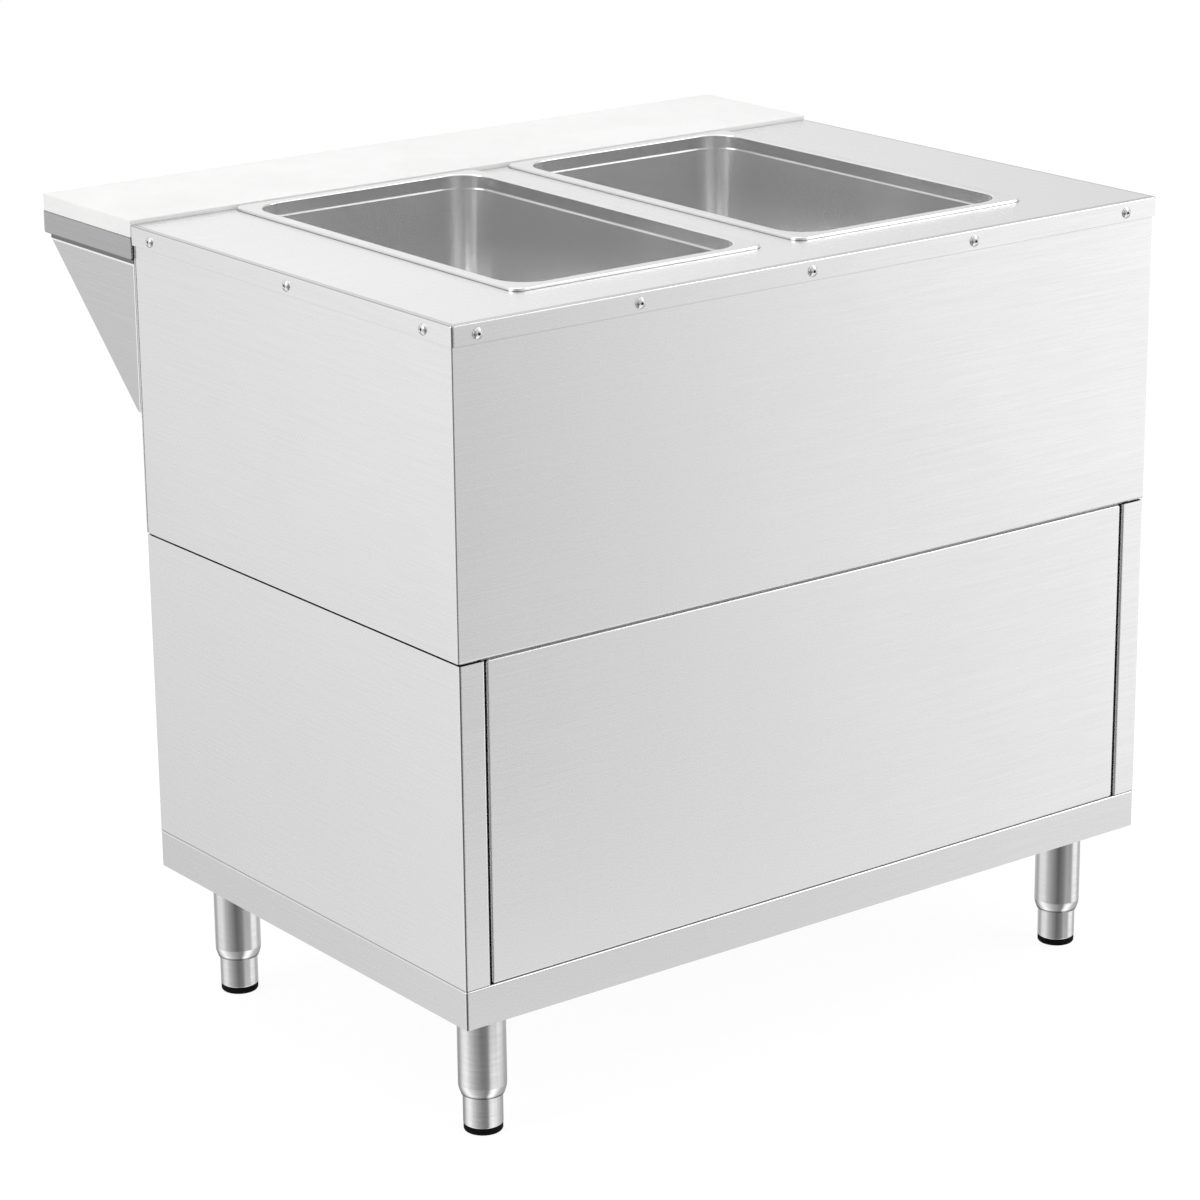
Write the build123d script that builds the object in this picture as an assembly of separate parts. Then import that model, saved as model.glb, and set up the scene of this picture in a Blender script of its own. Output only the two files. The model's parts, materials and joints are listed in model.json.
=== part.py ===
from build123d import *
import os

# A two-well electric steam table with a closed base, seen by its customers from the front.
# The front face looks toward -Y, the operator stands at +Y, and +Z is up.
# The origin is on the floor, under the middle of the table's bounding box.

# Cabinet
leg_height = 148.0
band_height = 43.0
lower_height = 353.0
upper_height = 348.0
sheet = 1.2
bend = 2.4
seam_gap = 2.0
seam_recess = 4.0

# Worktop
lip_height = 22.0
lip_overhang = 3.0
corner_round = 3.0
rib_clearance = 8.5
rib_drop = 20.0

# Blind rivets that hold the worktop's lips to the panels
rivet_head_radius = 6.2
rivet_head_height = 3.1
rivet_shank_radius = 2.4
rivet_tail_radius = 3.4
rivet_tail_length = 2.6
rivet_bore_radius = 1.3
rivet_bore_depth = 1.8
rivet_clearance = 0.05
rivet_drop = 12.5
rivet_pitch = 226.0
rivet_inset_left = 28.0
rivet_inset_right = 43.0
rivet_inset_front = 46.0
rivet_step_front = 245.0
rivet_inset_back = 39.0

# Folded flanges of the body panels
top_flange = 20.0
side_flange = 22.0
corner_clearance = 1.0

# Corner stiles and the inset front panel of the lower body
stile_width = 31.0
stile_return = 14.0
inset_gap = 3.0
inset_recess = 0.8
inset_fold = 18.0

# Food pans and the wells that hold them
pan_width = 325.0
pan_length = 527.0
pan_depth = 150.0
pan_wall = 0.9
pan_rim_height = 3.2
pan_rim_width = 12.0
pan_corner = 40.0
pan_rim_corner = 13.0
pan_mouth_round = 1.6
pan_shoulder_height = 17.0
pan_shoulder_step = 3.5
pan_taper = 3.0
pan_bottom_round = 14.0
pan_gap = 45.0
pan_margin_side = 127.5
pan_margin_front = 72.0
pan_margin_back = 1.0
well_clearance = 2.0
well_depth = 182.0
well_wall = 1.0
well_corner = 26.0
well_bottom_round = 12.0
well_flange = 8.0
rest_gap = 0.3

# Heating elements
heater_radius = 4.0
heater_lift = 12.0
heater_inset = 62.0
heater_bend = 26.0
heater_tail = 16.0
heater_hole_clearance = 0.2
saddle_width = 24.0
saddle_length = 14.0

# Serving board with the channel and brackets that carry it
board_depth = 189.0
board_thickness = 19.0
board_rise = 5.0
board_round = 1.5
channel_height = 25.0
channel_return = 22.0
bracket_sheet = 1.5
bracket_reach = 180.0
bracket_drop = 172.0
bracket_flange = 28.0
bracket_nose = 5.0

# Legs and adjustable feet
leg_inset = 60.0
leg_radius = 26.0
leg_wall = 1.6
leg_shoulder = 97.0
leg_neck = 8.0
leg_plate_size = 84.0
leg_plate_thickness = 4.0
foot_radius = 21.4
foot_wall = 1.6
foot_clearance = 0.3
foot_cover = 27.0
foot_retract = 10.0
foot_extend = 25.0
pad_height = 8.0
pad_inset = 0.3
stud_radius = 6.0
stud_clearance = 0.05
plug_height = 15.0
base_rail_width = 92.0
base_rail_height = 25.0

# Sliding doors on the operator's side
door_thickness = 14.0
door_clearance = 0.6
door_overlap = 20.0
door_cover = 10.0
track_wall = 1.5
track_foot = 8.0
track_head = 16.0
door_lift = 6.0
pull_length = 96.0
pull_width = 28.0
pull_depth = 9.0
pull_wall = 1.0
pull_lip = 3.0
pull_inset = 38.0

# Controls on the operator's side
control_height = 96.0
knob_radius = 23.0
knob_skirt = 7.0
knob_grip_height = 18.0
knob_grip_width = 13.0
knob_stand_off = 1.5
shaft_radius = 3.0
shaft_clearance = 0.05
shaft_reach = 20.0
switch_width = 46.0
switch_height = 40.0
switch_depth = 38.0
bushing_radius = 5.0
panel_hole_clearance = 0.2
pilot_offset = 62.0
pilot_radius = 6.5
pilot_rise = 5.0
pilot_body = 24.0
gland_radius = 12.0
gland_bore = 6.0
gland_length = 16.0
gland_offset = 70.0

# Levels and faces worked out from the sizes above
well_pitch = pan_width + pan_gap
cabinet_length = well_pitch + pan_width + 2 * pan_margin_side
cabinet_depth = pan_margin_front + pan_length + pan_margin_back
z_band = leg_height
z_floor = z_band + band_height
z_seam = z_floor + lower_height
z_top = z_seam + upper_height
z_under_deck = z_seam - seam_gap
z_under_top = z_top - sheet
overall_depth = rivet_head_height + lip_overhang + cabinet_depth + sheet + board_depth
front = rivet_head_height + lip_overhang - overall_depth / 2
back = front + cabinet_depth
right = cabinet_length / 2
middle_y = (front + back) / 2
board_front = back + sheet
board_back = board_front + board_depth
top_length = cabinet_length + 2 * lip_overhang
z_board_under = z_top + board_rise - board_thickness
z_channel_under = z_board_under - channel_height
z_control = z_seam + control_height
pan_centre_y = front + pan_margin_front + pan_length / 2
opening_width = pan_width - 2 * pan_rim_width + 2 * well_clearance
opening_length = pan_length - 2 * pan_rim_width + 2 * well_clearance
flange_width = opening_width + 2 * well_wall + 2 * well_flange
flange_length = opening_length + 2 * well_wall + 2 * well_flange
rib_width = well_pitch - flange_width - 2 * rib_clearance
pan_centres = [("left", -well_pitch / 2), ("right", well_pitch / 2)]
z_well_under = z_under_top - well_depth
z_heater = z_well_under + well_wall + heater_lift
z_rail_under = z_floor - sheet - base_rail_height


def rounded_block(width, depth, height, corner, edge):
    """A block on Z=0 with rounded uprights and a rounded top rim."""
    block = extrude(RectangleRounded(width, depth, corner), height)
    return fillet(block.faces().sort_by(Axis.Z)[-1].edges(), edge)


def sheet_tray(width, depth, height, wall):
    """A folded sheet tray, open below, with the outer bend radius on every top edge."""
    outer = rounded_block(width, depth, height, corner_round, bend)
    inner_corner = corner_round - wall
    inner_height = height - wall
    inner = rounded_block(width - 2 * wall, depth - 2 * wall, inner_height, inner_corner, bend - wall)
    return outer - inner


def channel_section(face, flange, wall):
    """A sheet channel's outline: its outer face on the Y axis, its flanges toward +X."""
    outer = RectangleRounded(2 * flange, face, bend)
    inner = RectangleRounded(2 * (flange - wall), face - 2 * wall, bend - wall)
    near_half = Pos(-flange / 2, 0) * Rectangle(flange, face)
    return Pos(flange, 0) * ((outer - inner) & near_half)


def along_x(section, start, length, y, z):
    """Extrudes a section along X, with its own X turned to +Y and its own Y to +Z."""
    plane = Plane(origin=(start, y, z), x_dir=(0, 1, 0), z_dir=(1, 0, 0))
    return plane * extrude(section, length)


def ring(outer_radius, inner_radius, length):
    """A round bush that stands on Z=0."""
    return extrude(Circle(outer_radius) - Circle(inner_radius), length)


def facing_back(shape, x, z):
    """Stands a shape, drawn upward from Z=0, on the outer face of the back panel."""
    return Pos(x, back, z) * Rot(-90, 0, 0) * shape


def worktop():
    depth = lip_overhang + cabinet_depth + sheet
    top = Pos(0, front - lip_overhang + depth / 2, z_top - lip_height)
    top = top * sheet_tray(top_length, depth, lip_height, sheet)
    opening = extrude(RectangleRounded(opening_width, opening_length, well_corner), 2 * lip_height)
    for _, x in pan_centres:
        top -= Pos(x, pan_centre_y, z_top - lip_height) * opening
    return top - rivet_holes()


def lip_rivet():
    """A blind rivet: a domed head on Z=0 with its mandrel bore, and a shank with a swollen tail."""
    ball_radius = (rivet_head_radius ** 2 + rivet_head_height ** 2) / (2 * rivet_head_height)
    dome = Pos(0, 0, rivet_head_height - ball_radius) * Sphere(ball_radius)
    head = dome & extrude(Circle(rivet_head_radius), rivet_head_height)
    grip = lip_overhang + sheet
    shank = extrude(Circle(rivet_shank_radius), -grip)
    tail = Pos(0, 0, -grip) * extrude(Circle(rivet_tail_radius), -rivet_tail_length)
    bore = Pos(0, 0, rivet_head_height) * extrude(Circle(rivet_bore_radius), -rivet_bore_depth)
    return head + shank + tail - bore


def rivet_places():
    """One rivet at the left of the front lip, four evenly spaced to its right end, three on each side."""
    z = z_top - rivet_drop
    front_x = [rivet_inset_left - right]
    front_x += [right - rivet_inset_right - step * rivet_pitch for step in range(4)]
    side_y = [front + rivet_inset_front, front + rivet_inset_front + rivet_step_front, back - rivet_inset_back]
    places = [Pos(x, front - lip_overhang, z) * Rot(90, 0, 0) for x in front_x]
    for side in (-1, 1):
        places += [Pos(side * (right + lip_overhang), y, z) * Rot(0, side * 90, 0) for y in side_y]
    return places


def rivet_holes():
    length = 2 * (lip_overhang + sheet)
    hole = Cylinder(rivet_shank_radius + rivet_clearance, length)
    return [place * hole for place in rivet_places()]


def worktop_rib():
    """A channel under the worktop, across the strip between the two wells."""
    section = channel_section(rib_width, rib_drop, sheet)
    length = cabinet_depth - 2 * sheet - 2 * top_flange
    plane = Plane(origin=(0, middle_y + length / 2, z_under_top), x_dir=(0, 0, -1), z_dir=(0, -1, 0))
    return plane * extrude(section, length)


def upper_front_panel():
    height = z_under_top - z_seam
    face = channel_section(height, top_flange, sheet)
    panel = along_x(face, -right, cabinet_length, front, z_seam + height / 2)
    notch_length = side_flange + corner_clearance
    notch_depth = top_flange
    for side in (-1, 1):
        x = side * (right - notch_length / 2)
        notch = Box(notch_length, notch_depth, height)
        panel -= Pos(x, front + sheet + notch_depth / 2, z_seam + height / 2) * notch
    return panel - rivet_holes()


def upper_side_panel(side):
    depth = cabinet_depth - 2 * sheet
    section = channel_section(depth, side_flange, sheet)
    panel = extrude(section, z_under_top - z_seam)
    turn = 0 if side < 0 else 180
    return Pos(side * right, middle_y, z_seam) * Rot(0, 0, turn) * panel - rivet_holes()


def control_panel():
    """The upper back panel, folded inward along its foot, with holes for the controls."""
    height = z_under_top - bend - z_seam
    plate = Pos(0, back - sheet / 2, z_seam + height / 2) * Box(cabinet_length, sheet, height)
    fold_length = cabinet_length - 2 * (side_flange + corner_clearance)
    fold = Pos(0, back - top_flange / 2, z_seam + sheet / 2) * Box(fold_length, top_flange, sheet)
    panel = plate + fold
    for _, x in pan_centres:
        panel -= panel_hole(x, z_control, bushing_radius)
        panel -= panel_hole(x + pilot_offset, z_control, pilot_radius - sheet)
    return panel - panel_hole(gland_x(), gland_z(), gland_bore + sheet)


def panel_hole(x, z, radius):
    hole = Cylinder(radius + panel_hole_clearance, 4 * sheet)
    return Pos(x, back - sheet / 2, z) * Rot(90, 0, 0) * hole


def gland_x():
    return gland_offset - right


def gland_z():
    return z_seam + gland_radius + 2 * top_flange


def mid_deck():
    length = cabinet_length - 2 * seam_recess
    depth = cabinet_depth - 2 * seam_recess
    return Pos(0, middle_y, z_under_deck + seam_gap / 2) * Box(length, depth, seam_gap)


def lower_side_panel(side):
    """A side sheet folded round both corners as a stile, with a narrow return on each."""
    outer = RectangleRounded(stile_width, cabinet_depth, bend)
    inner = RectangleRounded(stile_width - 2 * sheet, cabinet_depth - 2 * sheet, bend - sheet)
    mouth = Rectangle(2 * bend, cabinet_depth - 2 * stile_return)
    section = outer - inner - Pos(stile_width / 2, 0) * mouth
    panel = extrude(section, z_under_deck - z_floor)
    turn = 0 if side < 0 else 180
    return Pos(side * (right - stile_width / 2), middle_y, z_floor) * Rot(0, 0, turn) * panel


def lower_front_panel():
    width = cabinet_length - 2 * (stile_width + inset_gap)
    height = z_under_deck - z_floor
    tray = sheet_tray(width, height, inset_fold, sheet)
    face_y = front + inset_recess + inset_fold
    return Pos(0, face_y, z_floor + height / 2) * Rot(90, 0, 0) * tray


def base_tray():
    return Pos(0, middle_y, z_band) * sheet_tray(cabinet_length, cabinet_depth, band_height, sheet)


def base_rail(side):
    """A channel under the cabinet floor that spreads the load of two legs."""
    section = channel_section(base_rail_width, base_rail_height, sheet)
    length = cabinet_depth - 2 * bend
    origin = (side * (right - leg_inset), middle_y + length / 2, z_rail_under)
    plane = Plane(origin=origin, x_dir=(0, 0, 1), z_dir=(0, -1, 0))
    return plane * extrude(section, length)


def leg():
    """A round tube with a drawn-in neck, a mounting plate and a threaded plug for the foot."""
    z_head = z_rail_under - leg_plate_thickness
    z_shoulder = z_band - leg_shoulder
    z_neck = z_shoulder - leg_neck
    bore = foot_radius + foot_clearance
    outline = make_face(Polyline(
        (leg_radius - leg_wall, z_head),
        (leg_radius, z_head),
        (leg_radius, z_shoulder),
        (bore + leg_wall, z_neck),
        (bore, z_neck),
        (leg_radius - leg_wall, z_shoulder),
        close=True,
    ))
    shoulder = outline.vertices().filter_by(lambda v: abs(v.Y - z_shoulder) < 0.01)
    outline = fillet(shoulder, 3 * leg_neck)
    tube = revolve(Plane.XZ * outline, Axis.Z)
    plug = Pos(0, 0, plug_level()) * ring(leg_radius - leg_wall, stud_radius + stud_clearance, plug_height)
    plate = Box(leg_plate_size, leg_plate_size, leg_plate_thickness)
    return tube + plug + Pos(0, 0, z_head + leg_plate_thickness / 2) * plate


def sleeve_top():
    """Level of the foot sleeve's upper end, high enough to stay in the neck when extended."""
    return z_band - leg_shoulder - leg_neck + foot_cover


def plug_level():
    return sleeve_top() + foot_retract + foot_wall


def foot():
    """The steel sleeve and stud of an adjustable foot."""
    stud_top = plug_level() + plug_height + foot_extend + foot_retract
    inner = foot_radius - foot_wall
    outline = make_face(Polyline(
        (0, pad_height),
        (foot_radius, pad_height),
        (foot_radius, sleeve_top()),
        (inner, sleeve_top()),
        (inner, pad_height + foot_wall),
        (stud_radius, pad_height + foot_wall),
        (stud_radius, stud_top),
        (0, stud_top),
        close=True,
    ))
    rim = outline.vertices().filter_by(lambda v: v.X > foot_radius - 0.01 and v.Y < pad_height + 0.01)
    return revolve(Plane.XZ * fillet(rim, foot_wall * 0.9), Axis.Z)


def foot_pad():
    pad = Pos(0, 0, pad_height / 2) * Cylinder(foot_radius - pad_inset, pad_height)
    return fillet(pad.faces().sort_by(Axis.Z)[0].edges(), pad_height / 3)


def well():
    """A liner that hangs from the worktop by its flange and holds one pan over its heater."""
    depth = well_depth - well_wall
    outer_width = opening_width + 2 * well_wall
    outer_length = opening_length + 2 * well_wall
    shell = well_form(outer_width, outer_length, well_corner + well_wall, 0)
    hollow = well_form(opening_width, opening_length, well_corner, well_wall)
    flange = RectangleRounded(flange_width, flange_length, well_corner + well_wall + well_flange)
    mouth = RectangleRounded(opening_width, opening_length, well_corner)
    shell += Pos(0, 0, depth) * extrude(flange - mouth, well_wall)
    shell -= hollow
    for x in (-heater_half_width(), heater_half_width()):
        hole = Cylinder(heater_radius + heater_hole_clearance, 4 * well_wall)
        shell -= Pos(x, heater_back(), 0) * hole
    return shell


def well_form(width, length, corner, floor):
    """The solid form of a well from its floor level up to the worktop's underside."""
    block = extrude(RectangleRounded(width, length, corner), well_depth - floor)
    base = block.faces().sort_by(Axis.Z)[0].edges()
    return Pos(0, 0, floor) * fillet(base, well_bottom_round - floor)


def heater_half_width():
    return opening_width / 2 - heater_inset


def heater_back():
    return opening_length / 2 - heater_inset


def heater():
    """A tube element bent as a flat loop, with both ends turned down through the well."""
    x = heater_half_width()
    y = heater_back()
    level = well_wall + heater_lift
    tail = -heater_tail
    path = FilletPolyline(
        (-x, y, tail), (-x, y, level), (-x, -y, level),
        (x, -y, level), (x, y, level), (x, y, tail),
        radius=heater_bend / 2)
    section = Plane(origin=(-x, y, tail), z_dir=(0, 0, 1)) * Circle(heater_radius)
    return sweep(section, path=path)


def heater_saddles():
    """Four notched saddles that keep the element off the well's floor."""
    groove = Rot(90, 0, 0) * Cylinder(heater_radius + heater_hole_clearance, 2 * saddle_length)
    saddle = Box(saddle_width, saddle_length, heater_lift) - Pos(0, 0, heater_lift / 2) * groove
    saddle = Pos(0, 0, well_wall + heater_lift / 2) * saddle
    places = GridLocations(2 * heater_half_width(), heater_back(), 2, 2)
    return Compound(children=[place * saddle for place in places])


def pan():
    """A full-size food pan with a folded rim, a stacking shoulder and drawn walls."""
    mouth_width = pan_width - 2 * pan_rim_width
    mouth_length = pan_length - 2 * pan_rim_width
    solid = pan_form(mouth_width, mouth_length, pan_corner, 0)
    hollow = pan_form(mouth_width - 2 * pan_wall, mouth_length - 2 * pan_wall, pan_corner - pan_wall, pan_wall)
    rim = extrude(RectangleRounded(pan_width, pan_length, pan_rim_corner), -pan_rim_height)
    rim = fillet(rim.faces().sort_by(Axis.Z)[-1].edges(), pan_rim_height / 2)
    fold = RectangleRounded(pan_width - 2 * pan_wall, pan_length - 2 * pan_wall, pan_rim_corner - pan_wall)
    groove = fold - RectangleRounded(mouth_width, mouth_length, pan_corner)
    rim -= Pos(0, 0, -pan_rim_height) * extrude(groove, pan_rim_height - pan_wall)
    drawn = solid + rim - hollow
    mouth = drawn.faces().sort_by(Axis.Z)[-1].inner_wires()[0].edges()
    return fillet(mouth, pan_mouth_round)


def pan_form(width, length, corner, floor):
    """The drawn form of a pan, from its shoulder down to its floor."""
    shoulder = pan_shoulder_height - floor
    upper = extrude(RectangleRounded(width, length, corner), -shoulder)
    step = 2 * pan_shoulder_step
    section = RectangleRounded(width - step, length - step, corner - pan_shoulder_step)
    lower = extrude(section, -(pan_depth - pan_shoulder_height), taper=pan_taper)
    lower = fillet(lower.faces().sort_by(Axis.Z)[0].edges(), pan_bottom_round - floor)
    return upper + Pos(0, 0, -shoulder) * lower


def board():
    block = Box(top_length, board_depth, board_thickness)
    block = fillet(block.edges().filter_by(Axis.Z), board_round)
    block = fillet(block.faces().sort_by(Axis.Z)[-1].edges(), board_round * 0.8)
    return Pos(0, (board_front + board_back) / 2, z_board_under + board_thickness / 2) * block


def board_channel():
    """A folded shelf under the board: closed ends, and a return along the foot of each side."""
    outer = RectangleRounded(board_depth, channel_height, bend)
    inner = RectangleRounded(board_depth - 2 * sheet, channel_height - 2 * sheet, bend - sheet)
    mouth = Rectangle(board_depth - 2 * channel_return, 4 * sheet)
    section = outer - inner - Pos(0, -channel_height / 2) * mouth
    y = (board_front + board_back) / 2
    z = z_channel_under + channel_height / 2
    shelf = along_x(section, -top_length / 2, top_length, y, z)
    for start in (-top_length / 2, top_length / 2 - sheet):
        shelf += along_x(outer, start, sheet, y, z)
    return shelf


def board_bracket(side):
    """A three-cornered sheet gusset with one flange under the shelf and one on the cabinet."""
    web = make_face(Polyline(
        (0, 0), (bracket_reach, 0), (bracket_reach, -bracket_nose),
        (bracket_nose, -bracket_drop), (0, -bracket_drop), close=True))
    gusset = along_x(web, 0, bracket_sheet, 0, 0)
    shelf_flange = Box(bracket_flange, bracket_reach, bracket_sheet)
    shelf_flange = Pos(bracket_flange / 2, bracket_reach / 2, -bracket_sheet / 2) * shelf_flange
    wall_flange = Box(bracket_flange, bracket_sheet, bracket_drop)
    wall_flange = Pos(bracket_flange / 2, bracket_sheet / 2, -bracket_drop / 2) * wall_flange
    gusset = gusset + shelf_flange + wall_flange
    gusset = fillet(gusset_folds(gusset, bracket_sheet), bend - bracket_sheet)
    gusset = fillet(gusset_folds(gusset, 0), bend)
    if side > 0:
        gusset = mirror(gusset, Plane.YZ)
    return Pos(side * right, board_front, z_channel_under) * gusset


def gusset_folds(gusset, inset):
    """The two bends of a gusset, on its outer side at inset 0 or on its inner side."""
    along_shelf = gusset.edges().filter_by(Axis.Y)
    along_shelf = along_shelf.filter_by(lambda e: abs(e.center().X - inset) + abs(e.center().Z + inset) < 0.01)
    down_wall = gusset.edges().filter_by(Axis.Z)
    down_wall = down_wall.filter_by(lambda e: abs(e.center().X - inset) + abs(e.center().Y - inset) < 0.01)
    return along_shelf + down_wall


def door_half_span():
    return right - stile_width


def track_depth():
    return 3 * track_wall + 2 * (door_thickness + 2 * door_clearance)


def track_section(height):
    """A double-grooved track, open toward +Y of its own outline."""
    section = Pos(0, height / 2) * Rectangle(track_depth(), height)
    groove_width = door_thickness + 2 * door_clearance
    for side in (-1, 1):
        y = side * (groove_width + track_wall) / 2
        section -= Pos(y, track_wall + height / 2) * Rectangle(groove_width, height)
    return section


def track_centre():
    return back - stile_return - track_depth() / 2


def door_track(head):
    length = cabinet_length - 2 * sheet
    if head:
        section = mirror(track_section(track_head), Plane.XZ)
        return along_x(section, -length / 2, length, track_centre(), z_under_deck)
    return along_x(track_section(track_foot), -length / 2, length, track_centre(), z_floor)


def door_lane(side):
    """Y of a door's middle: the left door runs in the outer groove."""
    offset = (door_thickness + 2 * door_clearance + track_wall) / 2
    return track_centre() - side * offset


def door(side):
    """A folded door sheet, open toward the cabinet, with a hole for its finger pull."""
    tray = sheet_tray(door_width(), door_height(), door_thickness, sheet)
    hole = extrude(RectangleRounded(pull_width, pull_length, pull_width / 2.5), 2 * door_thickness)
    tray -= Pos(side * pull_x(), 0, 0) * hole
    return door_place(side) * tray


def door_width():
    return door_half_span() + door_cover + door_overlap / 2


def door_height():
    return z_under_deck - z_floor - 2 * track_wall - door_clearance - door_lift


def pull_x():
    return door_width() / 2 - pull_inset


def door_place(side):
    x = side * (door_half_span() + door_cover - door_width() / 2)
    z = z_floor + track_wall + door_clearance + door_height() / 2
    return Pos(x, door_lane(side) - door_thickness / 2, z) * Rot(-90, 0, 0)


def door_pull(side):
    """A pressed cup with a thin lip that lines the hole in a door."""
    corner = pull_width / 2.5
    cup = extrude(RectangleRounded(pull_width, pull_length, corner), pull_depth)
    width = pull_width - 2 * pull_wall
    length = pull_length - 2 * pull_wall
    hollow = extrude(RectangleRounded(width, length, corner - pull_wall), pull_depth)
    lip_outline = RectangleRounded(pull_width + 2 * pull_lip, pull_length + 2 * pull_lip, corner + pull_lip)
    lip = extrude(lip_outline, pull_wall / 2)
    lip_level = pull_depth
    cup = cup + Pos(0, 0, lip_level) * lip - Pos(0, 0, pull_wall) * hollow
    cup -= Pos(0, 0, lip_level) * hollow
    place = Pos(side * pull_x(), 0, door_thickness - pull_depth)
    return door_place(side) * place * cup


def switch():
    """A rotary heat switch behind the panel, with the bushing that its shaft turns in."""
    body = Box(switch_width, switch_height, switch_depth)
    body = fillet(body.edges().filter_by(Axis.Z), 3 * sheet)
    body = Pos(0, 0, -sheet - switch_depth / 2) * body
    bushing = Pos(0, 0, -sheet) * extrude(Circle(bushing_radius), sheet + knob_stand_off / 2)
    bore = extrude(Circle(shaft_radius + shaft_clearance), shaft_reach + knob_stand_off)
    return body + bushing - Pos(0, 0, -shaft_reach) * bore


def knob():
    """A round skirt with a raised grip bar, on the shaft that enters the switch."""
    skirt = extrude(Circle(knob_radius), knob_skirt)
    skirt = fillet(skirt.faces().sort_by(Axis.Z)[-1].edges(), knob_skirt / 3)
    grip = extrude(SlotOverall(2 * knob_radius - 4 * sheet, knob_grip_width), knob_grip_height, taper=3)
    grip = fillet(grip.faces().sort_by(Axis.Z)[-1].edges(), knob_skirt / 3)
    shaft = extrude(Circle(shaft_radius), rest_gap - shaft_reach - knob_stand_off)
    return Pos(0, 0, knob_stand_off) * (skirt + Rot(0, 0, 90) * grip + shaft)


def pilot_light():
    lens = extrude(Circle(pilot_radius), pilot_rise)
    lens = fillet(lens.faces().sort_by(Axis.Z)[-1].edges(), pilot_rise * 0.8)
    body = Pos(0, 0, -pilot_body) * extrude(Circle(pilot_radius - sheet), pilot_body)
    return lens + body


def cord_gland():
    """A ribbed bush in the back panel where a supply lead enters."""
    nut = extrude(RegularPolygon(gland_radius, 6), gland_length / 2)
    dome = Pos(0, 0, gland_length / 2) * extrude(Circle(gland_radius - 2 * sheet), gland_length / 2, taper=12)
    tail = Pos(0, 0, -gland_length) * extrude(Circle(gland_bore + sheet), gland_length)
    bore = Pos(0, 0, -gland_length) * extrude(Circle(gland_bore), 2 * gland_length)
    return nut + dome + tail - bore


def leg_places():
    """The four leg positions, counted from the front left, clockwise from above."""
    x = right - leg_inset
    near = front + leg_inset
    far = back - leg_inset
    return [(-x, near), (-x, far), (x, far), (x, near)]


def assemble():
    """Every piece of the table, by the name of its file."""
    pieces = {
        "worktop": worktop(),
        "worktop_rib": worktop_rib(),
        "upper_front_panel": upper_front_panel(),
        "control_panel": control_panel(),
        "lip_rivets": Compound(children=[place * lip_rivet() for place in rivet_places()]),
        "mid_deck": mid_deck(),
        "lower_front_panel": lower_front_panel(),
        "base_tray": base_tray(),
        "board": board(),
        "board_channel": board_channel(),
        "door_track_foot": door_track(False),
        "door_track_head": door_track(True),
        "cord_gland": facing_back(cord_gland(), gland_x(), gland_z()),
    }
    for name, side in (("left", -1), ("right", 1)):
        pieces[f"upper_side_panel_{name}"] = upper_side_panel(side)
        pieces[f"lower_side_panel_{name}"] = lower_side_panel(side)
        pieces[f"base_rail_{name}"] = base_rail(side)
        pieces[f"board_bracket_{name}"] = board_bracket(side)
        pieces[f"door_{name}"] = door(side)
        pieces[f"door_pull_{name}"] = door_pull(side)
    for name, x in pan_centres:
        pieces[f"well_{name}"] = Pos(x, pan_centre_y, z_well_under) * well()
        pieces[f"heater_{name}"] = Pos(x, pan_centre_y, z_well_under) * heater()
        pieces[f"heater_saddles_{name}"] = Pos(x, pan_centre_y, z_well_under) * heater_saddles()
        pieces[f"pan_{name}"] = Pos(x, pan_centre_y, z_top + rest_gap + pan_rim_height) * pan()
        pieces[f"switch_{name}"] = facing_back(switch(), x, z_control)
        pieces[f"knob_{name}"] = facing_back(knob(), x, z_control)
        pieces[f"pilot_light_{name}"] = facing_back(pilot_light(), x + pilot_offset, z_control)
    for number, (x, y) in enumerate(leg_places(), start=1):
        pieces[f"leg_{number}"] = Pos(x, y) * leg()
        pieces[f"foot_{number}"] = Pos(x, y) * foot()
        pieces[f"foot_pad_{number}"] = Pos(x, y) * foot_pad()
    return pieces


os.makedirs("parts", exist_ok=True)
for node, solid in assemble().items():
    export_step(solid, f"parts/{node}.step")
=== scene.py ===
import json
import math

import bmesh
import bpy
from mathutils import Matrix, Vector


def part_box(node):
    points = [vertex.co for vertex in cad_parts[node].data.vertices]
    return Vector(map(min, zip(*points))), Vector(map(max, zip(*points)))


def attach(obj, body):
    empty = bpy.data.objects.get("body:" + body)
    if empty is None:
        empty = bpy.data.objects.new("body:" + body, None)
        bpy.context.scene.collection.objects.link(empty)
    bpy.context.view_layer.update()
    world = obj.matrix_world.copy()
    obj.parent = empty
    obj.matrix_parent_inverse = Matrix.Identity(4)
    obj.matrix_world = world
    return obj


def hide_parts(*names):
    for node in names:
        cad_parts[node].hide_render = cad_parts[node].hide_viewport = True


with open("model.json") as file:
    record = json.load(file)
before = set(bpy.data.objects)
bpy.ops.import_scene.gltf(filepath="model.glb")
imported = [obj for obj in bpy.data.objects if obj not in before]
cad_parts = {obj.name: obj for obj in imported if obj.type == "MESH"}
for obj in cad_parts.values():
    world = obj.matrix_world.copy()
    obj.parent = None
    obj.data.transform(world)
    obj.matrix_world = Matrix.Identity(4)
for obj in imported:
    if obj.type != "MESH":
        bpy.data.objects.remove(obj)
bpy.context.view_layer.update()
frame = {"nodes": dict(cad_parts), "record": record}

MM = 0.001
X, Y, Z = 0, 1, 2
OUTWARD_FRONT = (0.0, -1.0, 0.0)
OUTWARD_LEFT = (-1.0, 0.0, 0.0)
OUTWARD_RIGHT = (1.0, 0.0, 0.0)
OUTWARD_BACK = (0.0, 1.0, 0.0)
DOWNWARD = (0.0, 0.0, -1.0)


# Shader maths

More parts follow.
